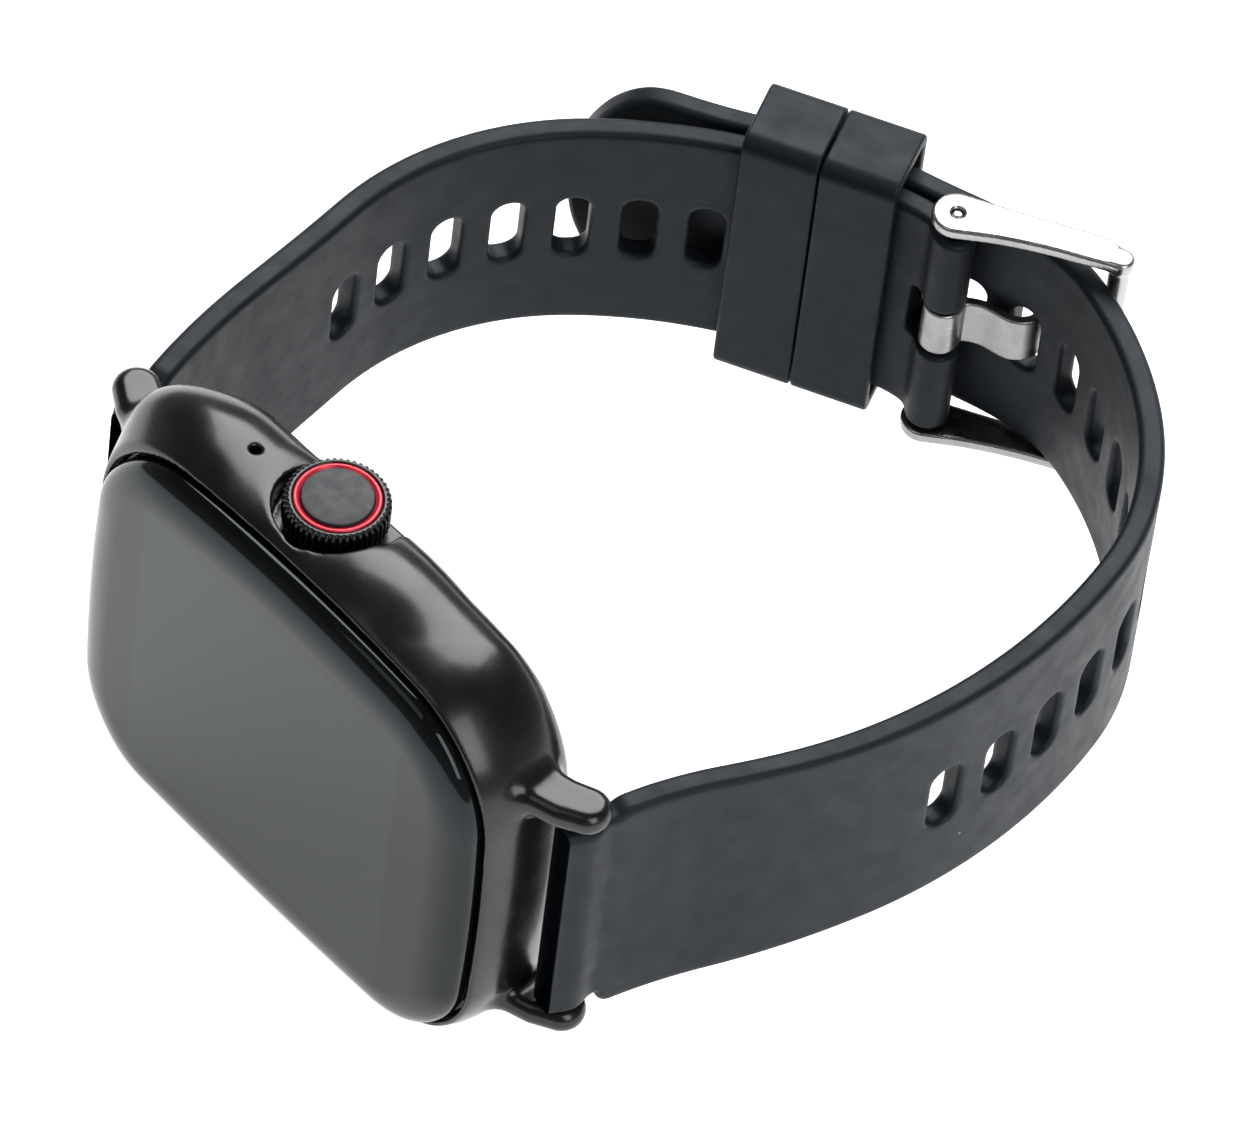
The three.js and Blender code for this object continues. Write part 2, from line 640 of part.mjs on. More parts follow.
// A rectangular band around both straps, leaning a little towards its neighbour.
function keeper(station, lean) {
  const outer = roundedRect(-KEEPER.depth / 2, -KEEPER.halfHeight, KEEPER.depth / 2, KEEPER.halfHeight, 1.2);
  const inner = roundedRect(-KEEPER.depth / 2 + KEEPER.wall, -KEEPER.halfHeight + KEEPER.wall,
    KEEPER.depth / 2 - KEEPER.wall, KEEPER.halfHeight - KEEPER.wall, 0.5);
  const band = new THREE.ExtrudeGeometry(ringShape(outer, inner), {
    depth: KEEPER.length, curveSegments: 3, bevelEnabled: false,
  });
  band.translate(0, 0, -KEEPER.length / 2);
  band.rotateY(Math.PI / 2 + THREE.MathUtils.degToRad(lean));
  return toStation(band, bucklePath, station, OVERLAP_PITCH / 2);
}

addPart('keeper_near', keeper(KEEPER.near, KEEPER.lean), silicone);
addPart('keeper_far', keeper(KEEPER.far, -KEEPER.lean), silicone);

// ---------------------------------------------------------------- buckle

function armOutline() {
  const { x, y } = BUCKLE_PIN;
  const shape = new THREE.Shape();
  shape.moveTo(x + 1.3, y - 1.4);
  shape.splineThru([
    new THREE.Vector2(x + 3.5, y + 1),
    new THREE.Vector2(x + 7, y + 3.6),
    new THREE.Vector2(OUTER_BAR.x - 0.3, OUTER_BAR.y - OUTER_BAR.radius),
  ]);
  shape.lineTo(OUTER_BAR.x + 0.7, OUTER_BAR.y + 0.3);
  shape.lineTo(OUTER_BAR.x - 0.2, OUTER_BAR.y + OUTER_BAR.radius);
  shape.splineThru([
    new THREE.Vector2(x + 4.8, y + 5.5),
    new THREE.Vector2(x + 1.2, y + 2.9),
    new THREE.Vector2(x - 1, y + 1.6),
  ]);
  shape.absarc(x, y, 1.9, 2.13, 5.46, false);
  return shape;
}

function buckleFrame() {
  const { x, y } = OUTER_BAR;
  const z = BUCKLE_BAR.z;
  const frame = joined(
    rodZ(x, y, OUTER_BAR.radius, z - ARM.outer, z + ARM.outer, 16),
    slabZ(armOutline(), z + ARM.inner, z + ARM.outer, 0, 4),
    slabZ(armOutline(), z - ARM.outer, z - ARM.inner, 0, 4),
  );
  return cut(frame, rodZ(BUCKLE_PIN.x, BUCKLE_PIN.y, BAR.bore, -20, 20, 12));
}

function buckleTongue() {
  const { x, y } = BUCKLE_PIN;
  const hole = holePath.at(BUCKLED_AT);
  const nearHole = (back, out) => hole.point.clone()
    .addScaledVector(hole.tangent, -back)
    .addScaledVector(hole.normal, -out);
  const line = new THREE.SplineCurve([
    new THREE.Vector2(x + 0.3, y + 1),
    new THREE.Vector2(x + 1.9, y + 2.25),
    nearHole(-0.75, -1.65),
    nearHole(0.3, -0.7),
    nearHole(0.5, 0.6),
    nearHole(1.5, 1.85),
    nearHole(3.5, 2.4),
    new THREE.Vector2(OUTER_BAR.x + 0.8, OUTER_BAR.y + OUTER_BAR.radius + TONGUE.thickness / 2 + 0.12),
  ]);
  const strip = stripOutline(new ArcPath([line]), 0, line.getLength(), TONGUE.thickness, 1.1);
  const loop = toSolid(rodZ(x, y, TONGUE.loop, TONGUE.low, TONGUE.high, 16));
  const tongue = loop.add(toSolid(slabZ(strip, TONGUE.low, TONGUE.high, 0.1)));
  return cut(tongue, rodZ(x, y, BAR.tube + 0.1, -5, 5, 16));
}

addPart('buckle_frame', buckleFrame(), steel);
addPart('buckle_tongue', buckleTongue(), brushedSteel);

// ---------------------------------------------------------------- spring bars

class Helix extends THREE.Curve {
  constructor(radius, halfLength, turns) {
    super();
    Object.assign(this, { radius, halfLength, turns });
  }

  getPoint(t, target = new THREE.Vector3()) {
    const angle = 2 * Math.PI * this.turns * t;
    target.set(this.radius * Math.cos(angle), this.radius * Math.sin(angle), this.halfLength * (2 * t - 1));
    return target;
  }
}

function coilSpring(halfLength) {
  const wire = polygon([[0.09, 0], [-0.045, 0.08], [-0.045, -0.08]]);
  const turns = 6;
  return new THREE.ExtrudeGeometry(wire, {
    steps: turns * 5, bevelEnabled: false, extrudePath: new Helix(0.33, halfLength, turns),
  });
}

// A spring bar about its own middle: a tube, a spring inside it and a sprung tip at each end.
function springBar(name, place, halfTube, tipEnd) {
  const tipStart = tipEnd - BAR.tipLength;
  const tipProfile = [
    [0, tipStart], [BAR.tip, tipStart], [BAR.tip, tipEnd - 0.2], [BAR.tip - 0.15, tipEnd], [0, tipEnd],
  ];
  const pieces = {
    tube: turned(0, 0, tubeProfile(BAR.bore, BAR.tube, -halfTube, halfTube), 16),
    tip_upper: turned(0, 0, tipProfile, 12),
    tip_lower: turned(0, 0, tipProfile.map(([r, z]) => [r, -z]).reverse(), 12),
    spring: coilSpring(tipStart - 0.3),
  };
  const bar = new THREE.Group();
  bar.position.copy(place);
  group.add(bar);
  for (const [piece, geometry] of Object.entries(pieces)) {
    addPart(`${name}_${piece}`, geometry, steel, bar);
  }
}

for (const [name, side] of [['lug_bar_12', -1], ['lug_bar_6', 1]]) {
  const { x, y } = lugPoint(side);
  springBar(name, new THREE.Vector3(x, y, HEAD_PLACE.z), LUG_BAR.halfTube, LUG_BAR.tipEnd);
}
springBar('buckle_bar', new THREE.Vector3(BUCKLE_PIN.x, BUCKLE_PIN.y, BUCKLE_BAR.z),
  BUCKLE_BAR.halfTube, BUCKLE_BAR.tipEnd);

// ---------------------------------------------------------------- standing position

const bounds = new THREE.Box3().setFromObject(group);
const middle = bounds.getCenter(new THREE.Vector3());
group.position.set(-middle.x, -middle.y, -bounds.min.z);
group.updateMatrixWorld(true);

export default group;
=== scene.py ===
"""Looks for the smartwatch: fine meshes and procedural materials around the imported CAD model.

Shapes are worked out in millimetres and become metres when a mesh is made. Sculpted pieces are
written as fields, which are negative inside the piece, and are meshed by solid().
"""

import json

import bpy
import numpy as np
from mathutils import Matrix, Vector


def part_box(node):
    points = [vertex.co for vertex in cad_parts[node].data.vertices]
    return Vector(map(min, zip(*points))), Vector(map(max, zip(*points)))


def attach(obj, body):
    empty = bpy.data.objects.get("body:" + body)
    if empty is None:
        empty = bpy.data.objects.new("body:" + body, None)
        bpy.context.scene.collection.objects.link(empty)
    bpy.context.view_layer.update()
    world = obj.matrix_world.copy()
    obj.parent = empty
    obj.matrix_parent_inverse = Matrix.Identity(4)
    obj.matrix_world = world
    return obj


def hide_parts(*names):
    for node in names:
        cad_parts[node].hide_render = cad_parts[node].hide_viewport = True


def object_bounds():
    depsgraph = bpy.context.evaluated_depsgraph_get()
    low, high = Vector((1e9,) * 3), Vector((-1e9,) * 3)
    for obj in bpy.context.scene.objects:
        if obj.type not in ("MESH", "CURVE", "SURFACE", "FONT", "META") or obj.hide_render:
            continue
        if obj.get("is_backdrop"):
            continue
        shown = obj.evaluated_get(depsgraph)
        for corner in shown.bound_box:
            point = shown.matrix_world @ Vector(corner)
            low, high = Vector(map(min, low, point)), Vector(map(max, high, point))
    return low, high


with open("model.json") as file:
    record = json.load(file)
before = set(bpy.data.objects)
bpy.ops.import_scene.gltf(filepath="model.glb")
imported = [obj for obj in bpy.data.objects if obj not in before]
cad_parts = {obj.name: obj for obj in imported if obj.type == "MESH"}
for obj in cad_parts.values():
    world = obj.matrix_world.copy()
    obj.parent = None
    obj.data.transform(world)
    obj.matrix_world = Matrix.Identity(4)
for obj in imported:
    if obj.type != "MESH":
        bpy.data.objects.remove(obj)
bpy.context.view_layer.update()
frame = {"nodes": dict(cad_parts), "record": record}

MM = 0.001
COARSE = 1.0


# ---------------------------------------------------------------- places taken from the CAD model

def middle(node):
    low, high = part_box(node)
    return (np.array(low) + np.array(high)) / 2 / MM


def top(node):
    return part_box(node)[1][2] / MM


CROWN = np.array([-2.7, 3.1])
HEAD = np.array([*(middle("crown_shaft")[:2] - CROWN), top("crown_cap") - 19.62])
ORIGIN = HEAD - np.array([0.7, 0.0, 1.2])
PIN = middle("buckle_bar_tube")[:2] - ORIGIN[:2]
LUG_12 = middle("lug_bar_12_tube")[:2] - ORIGIN[:2]
LUG_6 = middle("lug_bar_6_tube")[:2] - ORIGIN[:2]
BUCKLE_Z = 0.45


# ---------------------------------------------------------------- fields

def norm(*parts):
    return np.sqrt(sum(p * p for p in parts))


def smooth_max(a, b, k):
    h = np.maximum(k - np.abs(a - b), 0) / k
    return np.maximum(a, b) + h * h * k / 4


def smooth_min(a, b, k):
    return -smooth_max(-a, -b, k)


def cut_away(field, tool, k=0.0):
    return smooth_max(field, -tool, k) if k else np.maximum(field, -tool)


def slab(plan, depth, r):
    """A plan distance and a distance from the middle depth, made one solid with edges rounded by r."""
    a, b = plan + r, depth + r
    return norm(np.maximum(a, 0), np.maximum(b, 0)) + np.minimum(np.maximum(a, b), 0) - r


def rectangle(u, v, half_u, half_v, r):
    return slab(np.abs(u) - half_u, np.abs(v) - half_v, r)


def between(v, low, high):
    return np.abs(v - (low + high) / 2) - (high - low) / 2


def stroke(x, y, points, radii):
    """Distance from a line through the points whose half-width follows radii."""
    best = None
    for (ax, ay), (bx, by), ra, rb in zip(points[:-1], points[1:], radii[:-1], radii[1:]):
        dx, dy = bx - ax, by - ay
        t = np.clip(((x - ax) * dx + (y - ay) * dy) / (dx * dx + dy * dy), 0, 1)
        d = norm(x - ax - t * dx, y - ay - t * dy) - (ra + (rb - ra) * t)
        best = d if best is None else np.minimum(best, d)
    return best


def flowing(points, steps=5):
    """A smooth line through a few points, each a tuple of any length."""
    p = np.array(points, float)
    ext = np.vstack([2 * p[0] - p[1], p, 2 * p[-1] - p[-2]])
    out = []
    for i in range(1, len(ext) - 2):
        for t in np.arange(steps) / steps:
            a, b, c, d = ext[i - 1:i + 3]
            out.append(0.5 * (2 * b + (c - a) * t + (2 * a - 5 * b + 4 * c - d) * t ** 2
                              + (3 * b - a - 3 * c + d) * t ** 3))
    out.append(p[-1])
    return np.array(out)


# ---------------------------------------------------------------- meshes

def make_object(name, verts, faces):
    """A smooth-shaded object from vertices in metres and faces of three or four corners."""
    mesh = bpy.data.meshes.new(name)
    mesh.from_pydata([tuple(v) for v in verts], [], faces)
    mesh.validate()
    mesh.shade_smooth()
    obj = bpy.data.objects.new(name, mesh)
    bpy.context.scene.collection.objects.link(obj)
    return obj


def outward(verts, faces):
    """The faces, turned round if the surface they make is inside out."""
    a, b, c = verts[faces[:, 0]], verts[faces[:, 1]], verts[faces[:, 2]]
    d = verts[faces[:, 3]]
    volume = np.einsum("ij,ij->", a, np.cross(b, c)) + np.einsum("ij,ij->", a, np.cross(c, d))
    return faces[:, ::-1] if volume < 0 else faces


def solid(name, field, low, high, cell, place):
    """Meshes field(x, y, z) < 0 in a box of cells, then puts it in the row frame with place(points)."""
    cell = np.array(cell, float) * COARSE
    low = np.array(low, float)
    count = np.ceil((np.array(high) - low) / cell).astype(int) + 1
    axes = [low[i] + cell[i] * np.arange(count[i]) for i in range(3)]
    value = field(axes[0][:, None, None], axes[1][None, :, None], axes[2][None, None, :])
    value = np.broadcast_to(value, tuple(count)).astype(float)
    inside = value < 0

    def corner(grid, i, j, k):
        return grid[i:count[0] - 1 + i, j:count[1] - 1 + j, k:count[2] - 1 + k]

    corners = [(i, j, k) for i in (0, 1) for j in (0, 1) for k in (0, 1)]
    filled = sum(corner(inside, *c).astype(np.int8) for c in corners)
    cells = np.argwhere((filled > 0) & (filled < 8))
    index = np.full(tuple(count - 1), -1)
    index[tuple(cells.T)] = np.arange(len(cells))

    # one vertex in each cell that the surface crosses, at the mean of its edge crossings
    total = np.zeros((len(cells), 3))
    hits = np.zeros(len(cells))
    for a in corners:
        for axis in range(3):
            if a[axis]:
                continue
            b = tuple(1 if i == axis else a[i] for i in range(3))
            va = value[tuple((cells + a).T)]
            vb = value[tuple((cells + b).T)]
            crossed = (va < 0) != (vb < 0)
            t = np.where(crossed, va / np.where(crossed, va - vb, 1), 0)
            at = np.array(a) + np.outer(t, np.array(b) - np.array(a))
            total += at * crossed[:, None]
            hits += crossed
    verts = low + cell * (cells + total / hits[:, None])

    # settle the vertices on the surface
    step = 0.02
    for _ in range(3):
        x, y, z = verts.T
        f = field(x, y, z)
        grad = np.stack([(field(x + step, y, z) - f), (field(x, y + step, z) - f),
                         (field(x, y, z + step) - f)], 1) / step
        move = -grad * (f / np.maximum((grad ** 2).sum(1), 0.2))[:, None]
        length = np.maximum(np.linalg.norm(move, axis=1), 1e-9)
        verts = verts + move * np.minimum(1, 0.5 * cell.min() / length)[:, None]

    quads = []
    for axis in range(3):
        u, v = (axis + 1) % 3, (axis + 2) % 3
        start = [slice(None)] * 3
        end = [slice(None)] * 3
        start[axis], end[axis] = slice(0, -1), slice(1, None)
        changed = inside[tuple(start)] != inside[tuple(end)]
        edges = np.argwhere(changed)
        edges = edges[(edges[:, u] > 0) & (edges[:, v] > 0)]
        edges = edges[(edges[:, u] < count[u] - 1) & (edges[:, v] < count[v] - 1)]
        eu, ev = np.zeros(3, int), np.zeros(3, int)
        eu[u], ev[v] = 1, 1
        ring = [index[tuple((edges - a).T)] for a in (eu + ev, ev, 0 * eu, eu)]
        quad = np.stack(ring, 1)
        leaving = inside[tuple(edges.T)]
        quad[~leaving] = quad[~leaving][:, ::-1]
        quads.append(quad)
    faces = np.concatenate(quads)
    placed = place(verts)
    return make_object(name, placed * MM, outward(placed, faces).tolist())


def turned(name, profile, centre, segments=96, teeth=0):
    """A body of revolution about Z. The profile is (radius, height, tooth depth) and ends on the axis."""
    angles = 2 * np.pi * np.arange(segments) / segments
    wave = 0.5 - 0.5 * np.sign(np.cos(teeth * angles)) * np.abs(np.cos(teeth * angles)) ** 0.45
    verts, faces, rings = [], [], []
    for r, z, *depth in profile:
        if r == 0:
            rings.append([len(verts)] * segments)
            verts.append((centre[0], centre[1], centre[2] + z))
            continue
        radius = r - (depth[0] if depth else 0) * wave
        rings.append(list(range(len(verts), len(verts) + segments)))
        verts.extend(zip(centre[0] + radius * np.cos(angles), centre[1] + radius * np.sin(angles),
                         np.full(segments, centre[2] + z)))
    closed = profile[0][0] > 0
    pairs = list(zip(rings, rings[1:])) + ([(rings[-1], rings[0])] if closed else [])
    for lower, upper in pairs:
        for i in range(segments):
            j = (i + 1) % segments
            face = [lower[i], lower[j], upper[j], upper[i]]
            faces.append(tuple(dict.fromkeys(face)))
    return make_object(name, np.array(verts) * MM, faces)


def bands(name, loops):
    """A closed skin over loops of points with equal counts, with a flat cap at each end."""
    n = len(loops[0])
    verts = np.concatenate(loops)
    faces = [tuple(reversed(range(n))), tuple(range(len(verts) - n, len(verts)))]
    for k in range(len(loops) - 1):
        for i in range(n):
            j = (i + 1) % n
            faces.append((k * n + i, k * n + j, (k + 1) * n + j, (k + 1) * n + i))
    return make_object(name, verts * MM, faces)


def adopt(obj, look, body, slot, *nodes):
    obj.data.materials.append(look)
    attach(obj, body)
    if nodes:
        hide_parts(*nodes)
    return obj


def in_head(points):
    return points + HEAD


# ---------------------------------------------------------------- materials

class Look:
    """A procedural material built up from noise in the object's own coordinates."""

    def __init__(self, name, color, roughness, metallic=0.0):
        self.mat = bpy.data.materials.new(name)
        self.mat.use_nodes = True
        self.tree = self.mat.node_tree
        self.shader = self.tree.nodes["Principled BSDF"]
        self.coords = self.node("ShaderNodeTexCoord").outputs["Object"]
        self.color = np.array(color)
        self.roughness = roughness
        self.heights = []
        self.set(Metallic=metallic)

    def node(self, kind, **inputs):
        made = self.tree.nodes.new(kind)
        for key, value in inputs.items():
            self.feed(made.inputs[key.replace("_", " ")], value)
        return made

    def feed(self, socket, value):
        if isinstance(value, bpy.types.NodeSocket):
            self.tree.links.new(value, socket)
        else:
            socket.default_value = value

    def set(self, **inputs):
        for key, value in inputs.items():
            self.feed(self.shader.inputs[key.replace("_", " ")], value)
        return self

    def math(self, operation, a, b=0.0):
        made = self.tree.nodes.new("ShaderNodeMath")
        made.operation = operation
        self.feed(made.inputs[0], a)
        self.feed(made.inputs[1], b)
        return made.outputs[0]

    def noise(self, scale, detail=3.0, stretch=None):
        vector = self.coords
        if stretch:
            mapping = self.node("ShaderNodeMapping", Vector=self.coords, Scale=stretch)
            vector = mapping.outputs["Vector"]
        return self.node("ShaderNodeTexNoise", Vector=vector, Scale=scale, Detail=detail).outputs["Fac"]

    def ramp(self, value, low, high, to_low=0.0, to_high=1.0):
        made = self.node("ShaderNodeMapRange", Value=value, From_Min=low, From_Max=high,
                         To_Min=to_low, To_Max=to_high)
        return made.outputs["Result"]

    def mix(self, factor, a, b):
        made = self.tree.nodes.new("ShaderNodeMix")
        made.data_type = "RGBA"
        self.feed(made.inputs["Factor"], factor)
        for socket, value in ((made.inputs[6], a), (made.inputs[7], b)):
            self.feed(socket, value if isinstance(value, bpy.types.NodeSocket) else (*value, 1))
        return made.outputs[2]

    def mottle(self, scale=180, amount=0.2):
        """Slow drift in the colour."""
        self.tone = self.mix(self.ramp(self.noise(scale), 0.35, 0.65),
                             self.color * (1 - amount), self.color * (1 + amount))
        self.set(Base_Color=self.tone)
        return self

    def over(self, factor, color):
        """Another colour laid over the first where factor is 1."""
        self.tone = self.mix(factor, self.tone, color)
        self.set(Base_Color=self.tone)
        return self

    def uneven(self, scale, spread, stretch=None):
        """Roughness that drifts by spread either way."""
        value = self.noise(scale, 4.0, stretch)
        self.set(Roughness=self.ramp(value, 0.3, 0.7, self.roughness - spread, self.roughness + spread))
        return self

    def relief(self, scale, depth, strength=1.0, stretch=None):
        """Fine bumps of that depth in millimetres."""
        before = self.heights[-1] if self.heights else None
        bump = self.node("ShaderNodeBump", Strength=strength, Distance=depth * MM,
                         Height=self.noise(scale, 3.0, stretch))
        if before:
            self.feed(bump.inputs["Normal"], before)
        self.heights.append(bump.outputs["Normal"])
        self.set(Normal=bump.outputs["Normal"])
        return self

    def specks(self, scale, size, share, color):
        """Sparse dust: small spots in a few of the cells of a Voronoi pattern."""
        cells = self.node("ShaderNodeTexVoronoi", Vector=self.coords, Scale=scale)
        chosen = self.node("ShaderNodeSeparateColor", Color=cells.outputs["Color"])
        here = self.math("LESS_THAN", cells.outputs["Distance"], size)
        picked = self.math("LESS_THAN", chosen.outputs["Red"], share)
        return self.over(self.math("MULTIPLY", here, picked), color)


def silicone():
    look = Look("silicone", (0.0068, 0.0085, 0.0118), 0.5).mottle(140, 0.08)
    scratches = look.ramp(look.noise(260, 2.0, (1, 1, 6)), 0.66, 0.7, 0, 0.25)
    look.over(scratches, (0.02, 0.022, 0.025))
    look.specks(420, 0.05, 0.03, (0.2, 0.2, 0.2))
    look.uneven(500, 0.06).relief(5200, 0.006, 0.6).relief(420, 0.02, 0.25)
    return look.set(Specular_IOR_Level=0.22, Specular_Tint=(0.8, 0.92, 1, 1))


def gloss_case():
    look = Look("case_plastic", (0.0042, 0.0043, 0.0048), 0.25).mottle(90, 0.25)
    look.specks(300, 0.035, 0.03, (0.16, 0.16, 0.17))
    look.uneven(300, 0.05).relief(1500, 0.004, 0.5).relief(110, 0.02, 0.15)
    return look.set(Coat_Weight=0.15, Coat_Roughness=0.12, Specular_IOR_Level=0.4)


def display_glass():
    """Dark glass with the unlit display showing as a slightly lighter square under it."""
    look = Look("glass", (0.0035, 0.0037, 0.0039), 0.07).mottle(60, 0.15)
    place = look.node("ShaderNodeSeparateXYZ", Vector=look.coords)
    sides = []
    for axis, centre, half in (("X", HEAD[0] - 0.4, 13.4), ("Z", HEAD[2] + 0.2, 12.9)):
        away = look.math("ABSOLUTE", look.math("SUBTRACT", place.outputs[axis], centre * MM))
        sides.append(look.ramp(away, (half - 0.03) * MM, (half + 0.03) * MM, 1, 0))
    inside = look.math("MULTIPLY", sides[0], sides[1])
    grain = look.ramp(look.noise(9000, 2.0), 0.3, 0.7, 0.85, 1.0)
    look.over(look.math("MULTIPLY", inside, grain), (0.011, 0.0135, 0.0145))
    look.specks(210, 0.05, 0.06, (0.3, 0.3, 0.3))
    look.uneven(140, 0.02).relief(60, 0.004, 0.12)
    return look.set(Specular_IOR_Level=0.3, Specular_Tint=(0.82, 0.94, 1, 1))


def plain_glass():
    look = Look("sensor_glass", (0.004, 0.004, 0.005), 0.08).mottle(300, 0.3)
    return look.uneven(300, 0.03).relief(90, 0.004, 0.1)


def polished_steel():
    look = Look("steel", (0.4, 0.4, 0.395), 0.26, 1.0).mottle(400, 0.06)
    look.uneven(900, 0.06).relief(2600, 0.003, 0.4).relief(500, 0.006, 0.25, (1, 1, 7))
    return look


def brushed_steel():
    look = Look("brushed_steel", (0.36, 0.355, 0.35), 0.34, 1.0).mottle(500, 0.1)
    look.uneven(700, 0.08, (1, 1, 14)).relief(900, 0.006, 0.5, (1, 1, 14))
    return look


def paint(name, color, roughness, metallic=0.0):
    look = Look(name, color, roughness, metallic).mottle(700, 0.12)
    return look.uneven(1200, 0.06).relief(4000, 0.003, 0.5)


def board():
    look = Look("board", (0.008, 0.06, 0.03), 0.5).mottle(300, 0.2)
    tracks = look.ramp(look.noise(900, 0.0, (1, 1, 5)), 0.52, 0.54)
    look.over(tracks, (0.02, 0.12, 0.06))
    return look.uneven(500, 0.08).relief(900, 0.02, 0.4)


LOOKS = {
    "silicone": silicone(),
    "case_plastic": gloss_case(),
    "glass": plain_glass(),
    "display_glass": display_glass(),
    "steel": polished_steel(),
    "brushed_steel": brushed_steel(),
    "red_paint": paint("red_paint", (0.62, 0.028, 0.05), 0.3, 0.35),
    "cap_paint": paint("cap_paint", (0.021, 0.023, 0.028), 0.55),
    "dark_plastic": paint("dark_plastic", (0.008, 0.008, 0.009), 0.45),
    "seal_rubber": paint("seal_rubber", (0.003, 0.003, 0.003), 0.75),
    "display_film": paint("display_film", (0.012, 0.014, 0.014), 0.3),
    "board": board(),
    "foil": paint("foil", (0.45, 0.47, 0.48), 0.35, 1.0),
    "battery_foil": paint("battery_foil", (0.32, 0.34, 0.35), 0.4, 0.8),
    "flex": paint("flex", (0.25, 0.1, 0.012), 0.45),
    "gold": paint("gold", (0.64, 0.39, 0.08), 0.28, 1.0),
    "magnet_plate": paint("magnet_plate", (0.33, 0.34, 0.35), 0.3, 1.0),
}


def look_of(slot):
    return LOOKS[slot].mat


for part in frame["record"]["subparts"]:
    for place in frame["nodes"][part["node"]].material_slots:
        place.material = look_of(part["material_slot"])


# ---------------------------------------------------------------- outline of the head

def rim(x, z):
    """Distance outside the edge of the glass, in the plane of the screen."""
    half_x, half_z, corner = 19.0, 14.7, 6.9
    across = 1 - (x / 19.5) ** 2
    swell = np.where(z > 0, 0.9 + 2.0 * across, 1.35 + 0.6 * across)
    u = np.abs(x) - 1.0 * (1 - (z / 17) ** 2) * np.clip(np.abs(x) / half_x, 0, 1)
    v = np.abs(z) - swell * np.clip(np.abs(z) / half_z, 0, 1)
    return slab(u - half_x, v - half_z, corner)


def rim_loop(offset, y, count=288):
    """Points where rim() equals offset, at depth y."""
    angle = 2 * np.pi * np.arange(count) / count
    near, far = np.zeros(count), np.full(count, 40.0)
    for _ in range(32):
        r = (near + far) / 2
        outside = rim(r * np.cos(angle), r * np.sin(angle)) > offset
        near, far = np.where(outside, near, r), np.where(outside, r, far)
    return np.stack([near * np.cos(angle), np.full(count, y), near * np.sin(angle)], 1)


# ---------------------------------------------------------------- case

def crown_guard_pocket(x, y, z):
    """The hollow that the crown sits in: round below, open to the back, narrowing to the front."""
    cx, cy = CROWN
    throat = stroke(x, y, [(cx + 0.5, cy), (cx + 0.45, 0.4)], [4.3, 1.9])
    mouth = np.maximum(np.abs(x - cx) - 4.3, cy - y)
    plan = np.minimum(np.minimum(norm(x - cx, y - cy) - 4.45, throat), mouth)
    return np.maximum(plan, 16.3 - z)


def lugs(x, y, z):
    """The four rounded arms that hold the spring bars."""
    ax, az = np.abs(x), np.abs(z)
    plan = stroke(ax, y, [(19.4, 1.9), (22.2, 2.7), (23.7, 3.5)], [2.0, 1.9, 1.8])
    return slab(plan, np.abs(az - 10.95) - 1.0, 0.95)


def case_field(x, y, z):
    d = rim(x, z)
    p = 2.6
    back = ((np.maximum(d + 3.9, 0) / 5.2) ** p + (np.maximum(y - 1.2, 0) / 5.6) ** p) ** (1 / p)
    front = norm(np.maximum(d + 0.5, 0) / 1.8, np.maximum(1.2 - y, 0) / 4.6)
    body = np.maximum(5.2 * (back - 1), 1.8 * (front - 1))
    crest = 3.6 * (norm((x - 3.9) / 5.6, (y - 1.9) / 3.8, (z - 15) / 3.9) - 1)
    body = smooth_min(body, crest, 1.7)
    shoulder = 4.6 * (norm((x + 13.6) / 7.7, (y - 1.7) / 4.7, (z - 12.4) / 5.85) - 1)
    body = smooth_min(body, shoulder, 1.8)
    scoop = 3.4 * (norm((x + 3.4) / 5.2, (y - 5.2) / 5.3, (z - 20.5) / 3.5) - 1)
    body = cut_away(body, scoop, 1.2)
    body = cut_away(body, crown_guard_pocket(x, y, z), 0.2)
    body = smooth_min(body, lugs(x, y, z), 1.1)
    body = smooth_max(body, -2.5 - y, 0.35)
    body = cut_away(body, np.maximum(d - 0.3, y + 0.9), 0.25)
    body = cut_away(body, np.maximum(d + 2.6, y - 3.6))
    body = cut_away(body, np.maximum(rectangle(x, z, 12.9, 9.7, 2), 2.6 - y), 0.15)
    body = cut_away(body, np.maximum(norm(x - CROWN[0], y - CROWN[1]) - 1.35, between(z, 13, 17)))
    body = cut_away(body, np.maximum(norm(x - CROWN[0], y - CROWN[1]) - 2.2, between(z, 11, 15.1)))
    body = cut_away(body, np.maximum(norm(x + 10, y - 2) - 0.42, between(z, 14, 22)), 0.15)
    bore = norm(np.abs(x) - 23.7, y - 3.5) - 0.52
    return cut_away(body, np.maximum(bore, np.abs(z) - 10.95))


case = solid("case_shell", case_field, (-26.2, -2.9, -19.6), (26.2, 7.2, 20.4), (0.21, 0.21, 0.21), in_head)
adopt(case, look_of("case_plastic"), "watch", "case_plastic", "case_body")

# front glass: flat in the middle, with its edge rolled back
glass_loops = [in_head(rim_loop(-3.4, -4.3)), in_head(rim_loop(-3.25, -4.3))]
glass_loops += [in_head(rim_loop(-3.2 + 3.2 * np.sin(a), -4.3 + 1.6 * (1 - np.cos(a))))
               for a in np.linspace(0.04, np.pi / 2, 14)]
glass_loops += [in_head(rim_loop(d, y)) for d, y in ((0, -2.2), (-0.06, -2.0), (-0.2, -1.9))]
adopt(bands("cover_glass", glass_loops), look_of("display_glass"), "watch", "glass", "front_glass")


# ---------------------------------------------------------------- back

